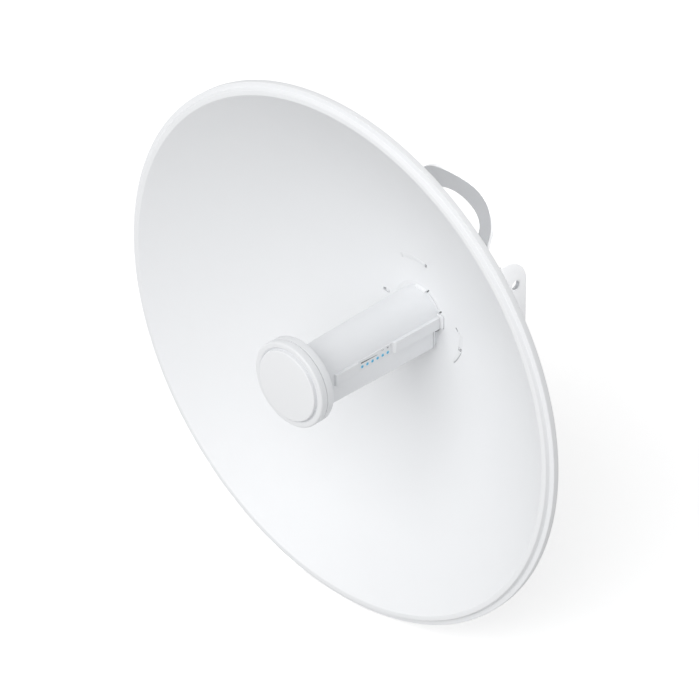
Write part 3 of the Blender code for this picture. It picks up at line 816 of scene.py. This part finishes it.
def strip():
    """Side strip with its sunk lamp window and the window's pane."""
    full, sunk = STRIP_OUTER, WINDOW_FACE
    rows = [(STRIP_START, full), (20, full), (WINDOW_START - 2.3, full),
            (WINDOW_START - 2.0, full - 0.12), (WINDOW_START - 0.1, sunk + 0.08),
            (WINDOW_START + 0.2, sunk), (49.3, sunk), (49.4, sunk - 0.5), (50.1, sunk - 0.5),
            (50.2, sunk), (66, sunk), (WINDOW_END - 0.3, sunk), (WINDOW_END - 0.1, sunk + 0.08),
            (WINDOW_END + 0.2, full - 0.15), (WINDOW_END + 0.5, full), (95, full),
            (STRIP_END - 0.5, full), (STRIP_END, full - 0.4)]
    bar = loft("lamp_strip", [strip_section(*row) for row in rows], STRIP_SHELL, angle=12)
    ready(bar, ["side_strip"])
    pane = rounded(rectangle(-16.6, 15.2, -4.2, 4.4), 1.2)
    ready(plate("lamp_pane", [pane], on_window((WINDOW_START + WINDOW_END) / 2), -0.3, 0.06,
                STRIP_SHELL, 0.05, 2), ["lamp_window"])


def lamps():
    """Row of blue lenses, each with a darker core."""
    dome = [(0, 0.34), (0.4, 0.36), (0.78, 0.40), (1.08, 0.34), (1.24, 0.2), (1.28, -0.1),
            (0, -0.1)]
    middle = [(0, 0.46), (0.28, 0.44), (0.45, 0.3), (0, 0.3)]
    for number in range(1, LAMP_COUNT + 1):
        base = on_window(FIRST_LAMP - (number - 1) * LAMP_PITCH, LAMP_HEIGHT)
        ready(lathe(f"lamp_lens_{number}", dome, LENS, 32, ring=False, base=base),
              [f"lamp_{number}"])
        ready(lathe(f"lamp_core_{number}", middle, CORE, 20, ring=False, base=base), [])


def marks():
    """Plain printed marks over the lamps: a ramp, two dots and a bar."""
    ramp = [(-8.8, -0.1), (7.4, -0.16), (7.4, 0.1), (-8.8, 1.0)]
    dots = [arc(x, 1.4, 0.36, 0, 340, 18) for x in (-0.6, 0.5)]
    bar = rounded(rectangle(-0.8, 0.8, 0.7, 1.8), 0.3)
    for name, pitches, outlines, ink in (("mark_ramp", 1.5, [ramp], PRINT),
                                         ("mark_dots", 4, dots, PALE_PRINT),
                                         ("mark_bar", 5, [bar], PALE_PRINT)):
        base = on_window(FIRST_LAMP - pitches * LAMP_PITCH, MARK_HEIGHT)
        ready(plate(name, outlines, base, 0.03, 0.10, ink), [])


def cap():
    """Round sub-reflector cap: back, front ring and raised face."""
    seat = CAP_RADIUS - 0.7
    back = [(0, CAP_START + 0.8), (18, CAP_START + 0.8, 0.4), (19, CAP_START, 0.4),
            (CAP_RADIUS - 0.2, CAP_START, 1.3), (CAP_RADIUS, CAP_SEAM - 0.2, 0.35),
            (seat, CAP_SEAM - 0.2, 0.1), (seat, CAP_SEAM - 0.6, 0.1), (0, CAP_SEAM - 0.6)]
    ready(turned("cap_back", back, SHELL, 180, 0.3, 5), ["cap_base"])
    floor = CAP_END - 1.2
    ring = [(0, floor), (DISC_RADIUS + 0.7, floor, 0.2), (DISC_RADIUS + 1.2, CAP_END - 0.5, 0.5),
            (DISC_RADIUS + 2.0, CAP_END, 0.6), (CAP_RADIUS, CAP_END, 1.5),
            (CAP_RADIUS, CAP_SEAM + 0.15, 0.35), (0, CAP_SEAM + 0.15)]
    ready(turned("cap_front", ring, SHELL, 180, 0.3, 6), ["cap_ring"])
    top = CAP_END + DISC_RISE
    face = [(0, top), (DISC_RADIUS, top, 0.8), (DISC_RADIUS, floor - 0.2, 0), (0, floor - 0.2)]
    ready(turned("cap_face", face, SHELL_FINE, 180, 0.3, 6), ["cap_disc"])


# Rear of the head
def behind_bowl(radius):
    """Station just behind the bowl's sheet at a radius."""
    return bowl_station(radius) - SHEET - 0.6


def grip_ribs():
    """Four groups of ribs round the housing, as one piece."""
    crest = HOUSING_RADIUS - 0.15
    root = HOUSING_RADIUS - 1.2
    corners = rounded([(root, -0.9, 0), (crest, -0.6, 0.3), (crest, 0.6, 0.3), (root, 0.9, 0)],
                      0.3, 3)
    shape = bmesh.new()
    for group in (18, 138, 198, 318):
        for step in range(-3, 4):
            turn = Matrix.Rotation(math.radians(group + 4 * step), 4, "Z")
            skin(shape, [[turn @ Vector((x * MM, y * MM, station * MM)) for x, y in corners]
                         for station in (-6.4, -19.6)])
    ready(from_bmesh("grip_ribs", shape, SHELL, HEAD_FRAME))


def housing():
    """Round radio housing with grip ribs and its cover."""
    neck = HOUSING_RADIUS - 0.9
    edge = behind_bowl(47.5)
    body = [(0, -9), (23.2, -9, 0.3), (23.2, behind_bowl(23.8), 0.2),
            (35.9, behind_bowl(35.9), 0), (42.4, behind_bowl(42.4), 0),
            (42.9, behind_bowl(42.9) + 0.45, 0), (47.5, edge + 0.45, 0.3),
            (HOUSING_RADIUS, edge - 0.6, 0.3), (HOUSING_RADIUS, -5.0, 0.4), (neck, -5.6, 0.4),
            (neck, -20.4, 0.4), (HOUSING_RADIUS, -21.0, 0.4),
            (HOUSING_RADIUS, HOUSING_REAR + 0.1, 0.3), (0, HOUSING_REAR + 0.1)]
    ready(turned("radio_shell", body, SHELL, 180, 0.3, 4), ["rear_housing"])
    grip_ribs()
    cover = [(0, HOUSING_REAR - 0.2), (HOUSING_RADIUS, HOUSING_REAR - 0.2, 0.3),
             (HOUSING_RADIUS, COVER_REAR, 2.8), (41.0, COVER_REAR, 0.3),
             (40.6, COVER_REAR + 0.7, 0.2), (39.6, COVER_REAR + 0.7, 0.2),
             (39.2, COVER_REAR, 0.3), (0, COVER_REAR)]
    ready(turned("radio_cover", cover, SHELL, 180, 0.3, 5), ["rear_cover"])


def port():
    """Port door under the housing, with its latch and the cable inlet."""
    low = -HOUSING_RADIUS - PORT_DEPTH
    base = Matrix.Translation(head_point(0, 0, low)) @ Matrix(
        ((1, 0, 0, 0), (0, -1, 0, 0), (0, 0, -1, 0), (0, 0, 0, 1)))
    door = rounded(rectangle(-13, 13, -22, -10), 2.2, 5)
    ready(plate("port_cover", [door], base, -4.6, 0, SHELL, 0.7), ["port_door"])
    latch = rounded(rectangle(-4.5, 4.5, -22.8, -21.6), 0.4, 3)
    ready(plate("port_latch", [latch], base, -3.4, -0.8, SHELL, 0.4))
    gland = [(0, 0), (4.0, 0, 0.3), (4.0, 1.4, 0.3), (3.5, 1.7, 0.15), (3.5, 2.2, 0.15),
             (3.95, 2.5, 0.2), (3.95, 3.3, 0.2), (3.5, 3.6, 0.15), (3.5, 4.1, 0.15),
             (3.7, 4.3, 0.2), (3.7, 4.9, 0.3), (2.3, 4.9, 0.3), (2.1, 1.2, 0.2), (0, 1.2)]
    inlet = aim(head_point(0, -16, low - 0.2), (0, 0, -1))
    ready(turned("cable_seal", gland, SEAL_AND_SHADE_GREY, 56, 0.2, 3, inlet), ["cable_inlet"])


def loop():
    """Flat arch with rounded edges over the housing, on two spacers."""
    foot = arc(LOOP_SCREW_X, LOOP_SCREW_Z, LOOP_FOOT_RADIUS, 0, -180, 20)
    outer = smooth_outline(mirrored(LOOP_OUTER) + list(LOOP_OUTER))
    inner = smooth_outline(list(LOOP_INNER) + mirrored(LOOP_INNER))
    outline = outer + foot + inner + mirrored(foot)
    rear = LOOP_FRONT - LOOP_THICKNESS
    arch = plate("carry_loop", [outline], HEAD_FRAME, rear, LOOP_FRONT, PAINTED_SHADE_GREY, 0.8, 4)
    # The flat faces take the darker grey as painted shade and the narrow sides the bracket's
    # lighter paint, so the two tones stand for shaded faces and lit edges.
    arch.data.materials.append(METAL_PAINT)
    for polygon in arch.data.polygons:
        polygon.material_index = 0 if abs(polygon.normal.z) > 0.5 else 1
    ready(arch, ["rear_loop"])
    spacer = [(0, COVER_REAR - 0.2), (5.5, COVER_REAR - 0.2, 0.4), (4.9, LOOP_FRONT + 0.2, 0.3),
              (0, LOOP_FRONT + 0.2)]
    for side, word in ((-1, "left"), (1, "right")):
        x = side * LOOP_SCREW_X
        place = Matrix.Translation((x * MM, 0, LOOP_SCREW_Z * MM)) @ HEAD_FRAME
        ready(turned(f"loop_post_{word}", spacer, SHELL, 48, 0.3, 3, place),
              [f"loop_spacer_{word}"])
        screw(f"loop_fixing_{word}", aim(head_point(x, rear - 0.1, LOOP_SCREW_Z), (0, 1, 0)), 4.2,
              2.4, f"loop_screw_{word}")


# Bracket and yoke
def channel_outline(half_width, depth, sheet, bend):
    """U section seen from above: web at y = 0, arms along +y."""
    inside = bend - sheet
    outer = [(half_width, depth)] + arc(half_width - bend, bend, bend, 0, -90, 12)
    outer += arc(-half_width + bend, bend, bend, -90, -180, 12) + [(-half_width, depth)]
    thin = half_width - sheet
    inner = [(-thin, depth)] + arc(-half_width + bend, bend, inside, 180, 270, 12)
    inner += arc(half_width - bend, bend, inside, 270, 360, 12) + [(thin, depth)]
    return outer + inner


def bracket_side():
    """Outline of the bracket from the side: ear, front edge, foot and web."""
    rear = -VERTEX_AHEAD
    foot = -AXIS_HEIGHT - WEB_HALF_HEIGHT
    web_top = -AXIS_HEIGHT + WEB_HALF_HEIGHT
    side = arc(EAR_REAR + EAR_REAR_CORNER, EAR_TOP - EAR_REAR_CORNER, EAR_REAR_CORNER, 180, 90, 24)
    side += arc(EAR_FRONT_EDGE[0][0] - 2 * EAR_FRONT_CORNER, EAR_TOP - EAR_FRONT_CORNER,
                EAR_FRONT_CORNER, 85, 0, 8)
    side += rounded([(-52, 20, 0)] + [(x, y, 8) for x, y in EAR_FRONT_EDGE]
                    + [(EAR_FOOT, foot, 0)], 8, 6, closed=False)[1:]
    side += [(rear - 1, foot), (rear - 1, web_top), (rear + 1, web_top)]
    side += rounded([(rear + 1, web_top, 0), (EAR_REAR, EAR_WEB_TURN, 6), (EAR_REAR, -20, 0)], 6, 6,
                    closed=False)[1:]
    return side


def bracket():
    """Bent sheet bracket with two ears, pivot holes, arc slots and bolt holes."""
    section = channel_outline(EAR_OUTER, EAR_REACH, EAR_SHEET, BEND_RADIUS)
    upright = Matrix(((1, 0, 0, 0), (0, -1, 0, 0), (0, 0, -1, 0), (0, 0, 0, 1)))
    item = plate("pole_mount", [section], upright, -120, WEB_HALF_HEIGHT + 10, METAL_PAINT)
    cut_sideways(item, "mount_outline", bracket_side(), "INTERSECT")
    drill(item, "mount_pivot", BUSH_RADIUS + 0.08, (-DRILL_REACH, PIVOT_STATION, 0),
          (DRILL_REACH, PIVOT_STATION, 0))
    slot = banana(ARC_SLOT_RADIUS, ARC_SLOT_WIDTH, LOCK_ANGLE - 90, TILT_RANGE + 0.5)
    cut_sideways(item, "mount_slot", [(x + PIVOT_STATION, y) for x, y in slot])
    holes = [(x, z - AXIS_HEIGHT) for z in (-BOLT_HOLE_Z, BOLT_HOLE_Z)
             for x in (-BOLT_HOLE_X, BOLT_HOLE_X)]
    for number, (x, height) in enumerate(holes):
        drill(item, f"mount_hole_{number}", BOLT_HOLE_RADIUS, (x, -VERTEX_AHEAD - 5, height),
              (x, -VERTEX_AHEAD + 5, height))
    bake(item)
    soften(item, 0.35, 2)
    ready(item, ["pole_bracket"], "mount")


def yoke():
    """Bent sheet yoke on the rear cover, with its screws."""
    section = channel_outline(YOKE_OUTER, 60, YOKE_SHEET, YOKE_BEND)
    item = plate("tilt_fork", [section], Matrix.Translation(head_point(0, YOKE_BASE, 0)), -60, 60,
                 METAL_PAINT)
    root = YOKE_BASE - YOKE_SHEET - 4
    side = arc(PIVOT_STATION, 0, YOKE_PIVOT_RADIUS, 60, 250, 28)
    side += arc(LOCK_STATION, LOCK_HEIGHT, YOKE_LOCK_RADIUS, 230, 300, 10)
    side += [(root, -30), (YOKE_BASE + 1, -30), (YOKE_BASE + 1, 22), (root, 22)]
    cut_sideways(item, "fork_outline", side, "INTERSECT")
    bore = BUSH_RADIUS + 0.15
    cone = [(0, -2), (6.3, -2, 0), (6.3, 0.0, 0.2), (bore, YOKE_SHEET, 0),
            (bore, YOKE_SHEET + 2, 0), (0, YOKE_SHEET + 2)]
    for sign in (-1, 1):
        arm = aim(head_point(sign * YOKE_INNER, PIVOT_STATION, 0), (sign, 0, 0))
        combine(item, turned(f"fork_sink_{sign + 1}", cone, None, 64, 0.1, 3, arm))
    drill(item, "fork_lock", LOCK_HOLE_RADIUS, (-DRILL_REACH, LOCK_STATION, LOCK_HEIGHT),
          (DRILL_REACH, LOCK_STATION, LOCK_HEIGHT))
    bake(item)
    soften(item, 0.35, 2)
    ready(item, ["tilt_yoke"])
    places = [(x, height) for x in (-12, 12) for height in (-20, 12)]
    for number, (x, height) in enumerate(places, start=1):
        start = head_point(x, YOKE_BASE - YOKE_SHEET - 0.1, height)
        screw(f"fork_screw_{number}", aim(start, (0, 1, 0)), 3.8, 2.2, f"yoke_screw_{number}")


def pivot_bush(side, word):
    """Hollow flanged bush that turns in one ear; its bore is lined with dark plate, partly its own
    plating and partly painted shade.
    """
    length = EAR_OUTER - YOKE_INNER - 0.05
    start = aim(head_point(side * YOKE_INNER, PIVOT_STATION, 0), (side, 0, 0))
    sleeve = rounded([(PIVOT_BORE, length - 3.0, 0.5), (5.2, 0.1, 0.2), (BUSH_FLANGE, 0.1, 0.2),
                      (BUSH_RADIUS, length - 2.5, 0.5), (BUSH_RADIUS, length, 0.1),
                      (PIVOT_BORE, length, 0.25)], 0.3, 3)
    ready(lathe(f"pivot_sleeve_{word}", sleeve, METAL_PAINT, 64, base=start),
          [f"pivot_bush_{word}"])
    # The dark liner stands in for the shade on the bore's wall, on top of its plating.
    liner = rectangle(PIVOT_BORE - 0.25, PIVOT_BORE + 0.05, 1.6, length - 0.2)
    ready(lathe(f"pivot_shade_liner_{word}", liner, BORE_PLATE_AND_SHADE, 64, base=start), [])


def lock_bolt(side, word):
    """Lock bolt with its thread, washer and nut in one ear's arc slot."""
    head = YOKE_INNER - BOLT_HEAD_HEIGHT - SHEET_GAP
    reach = EAR_OUTER + 9 - head
    shank = [(0, 0.0), (3.4, 0.1, 1.6), (BOLT_HEAD_RADIUS, 1.6, 0.8),
             (BOLT_HEAD_RADIUS, BOLT_HEAD_HEIGHT, 0.3), (BOLT_RADIUS, BOLT_HEAD_HEIGHT, 0.1),
             (BOLT_RADIUS, reach - THREAD_LENGTH, 0)]
    for turn in range(THREAD_TURNS):
        at = reach - THREAD_LENGTH + 0.2 + turn * THREAD_PITCH
        shank += [(2.55, at, 0.1), (BOLT_RADIUS, at + THREAD_PITCH / 2, 0.1)]
    shank += [(2.5, reach, 0.2), (0, reach)]
    base = aim(head_point(side * head, LOCK_STATION, LOCK_HEIGHT), (side, 0, 0))
    ready(turned(f"clamp_bolt_{word}", shank, ZINC, 48, 0.1, 2, base), [f"lock_bolt_{word}"])
    out = aim(head_point(side * (EAR_OUTER + 0.2), LOCK_STATION, LOCK_HEIGHT), (side, 0, 0))
    washer = rounded([(3.1, 0, 0.1), (6.6, 0, 0.2), (6.6, WASHER_THICKNESS, 0.2),
                      (3.1, WASHER_THICKNESS, 0.1)], 0.2, 3)
    ready(lathe(f"clamp_washer_{word}", washer, ZINC, 56, base=out), [])
    ready(plate(f"clamp_nut_{word}", [hexagon(5.8), circle(BOLT_RADIUS + 0.05, 32)], out,
                WASHER_THICKNESS + 0.05, 5.3, ZINC, 0.35), [f"lock_nut_{word}"])


# Studio
def studio_floor():
    """Pale paper under the dish, glowing a little so that it stays near white."""
    mesh = bpy.data.meshes.new("floor")
    shape = bmesh.new()
    bmesh.ops.create_grid(shape, x_segments=8, y_segments=8, size=FLOOR_REACH)
    shape.to_mesh(mesh)
    shape.free()
    paper = new_material("studio_paper", (0.93, 0.93, 0.93), 0.7)
    shader = paper.node_tree.nodes["Principled BSDF"]
    shader.inputs["Specular IOR Level"].default_value = 0.2
    shader.inputs["Emission Color"].default_value = (1, 1, 1, 1)
    shader.inputs["Emission Strength"].default_value = FLOOR_GLOW
    floor = add_object("floor", mesh, paper, Matrix.Translation((0, 0, FLOOR_HEIGHT)))
    floor.visible_diffuse = False


def studio_sky():
    """White surroundings, brighter above than below."""
    world = bpy.data.worlds.new("studio")
    bpy.context.scene.world = world
    world.use_nodes = True
    tree = world.node_tree
    backdrop = tree.nodes["Background"]
    backdrop.inputs["Color"].default_value = (1.0, 1.0, 1.0, 1)
    where = tree.nodes.new("ShaderNodeTexCoord")
    parts = tree.nodes.new("ShaderNodeSeparateXYZ")
    tree.links.new(where.outputs["Generated"], parts.inputs["Vector"])
    strength = map_range(tree, parts.outputs["Z"], -1.0, 1.0, SKY_BELOW, SKY_ABOVE)
    tree.links.new(strength, backdrop.inputs["Strength"])


def softbox(name, place, target, size, power, spread=180):
    """Rectangular light at a place, facing a target."""
    lamp = bpy.data.lights.new(name, "AREA")
    lamp.spread = math.radians(spread)
    lamp.shape = "RECTANGLE"
    lamp.size, lamp.size_y = size
    lamp.energy = power
    item = bpy.data.objects.new(name, lamp)
    bpy.context.scene.collection.objects.link(item)
    direction = Vector(target) - Vector(place)
    item.matrix_world = (Matrix.Translation(place)
                         @ direction.to_track_quat("-Z", "Y").to_matrix().to_4x4())


def camera():
    """Long lens at the photograph's viewing angle."""
    azimuth, elevation = math.radians(CAMERA_AZIMUTH), math.radians(CAMERA_ELEVATION)
    right = Vector((math.cos(azimuth), math.sin(azimuth), 0))
    toward = Vector((math.sin(azimuth) * math.cos(elevation),
                     -math.cos(azimuth) * math.cos(elevation), math.sin(elevation)))
    up = toward.cross(right)
    target = head_point(0, CAMERA_STATION, 0) + right * CAMERA_RIGHT * MM + up * CAMERA_UP * MM
    data = bpy.data.cameras.new("camera")
    data.sensor_width = SENSOR_WIDTH
    data.lens = FOCAL_PIXELS / FRAME_PIXELS * SENSOR_WIDTH
    data.clip_end = 100
    item = bpy.data.objects.new("camera", data)
    bpy.context.scene.collection.objects.link(item)
    turn = Matrix((right, up, toward)).transposed().to_4x4()
    item.matrix_world = Matrix.Translation(target + toward * CAMERA_DISTANCE) @ turn
    bpy.context.scene.camera = item


dish()
slot_tabs()
slot_inserts()
hub()
feed()
strip()
lamps()
marks()
cap()
housing()
port()
loop()
bracket()
yoke()
for sign, label in ((-1, "left"), (1, "right")):
    pivot_bush(sign, label)
    lock_bolt(sign, label)

studio_floor()
studio_sky()
# The lights' places, targets and sizes are in metres, their power in watts.
softbox("key", (0.773, -6.28, 4.74), (0, -0.1, 0.05), (8.3, 6.5), 376)
softbox("rim", (0.55, 0.45, 0.78), (0.03, -0.055, 0.17), (0.12, 0.12), 0.13, spread=18)
camera()
bpy.context.scene.view_settings.view_transform = "Standard"
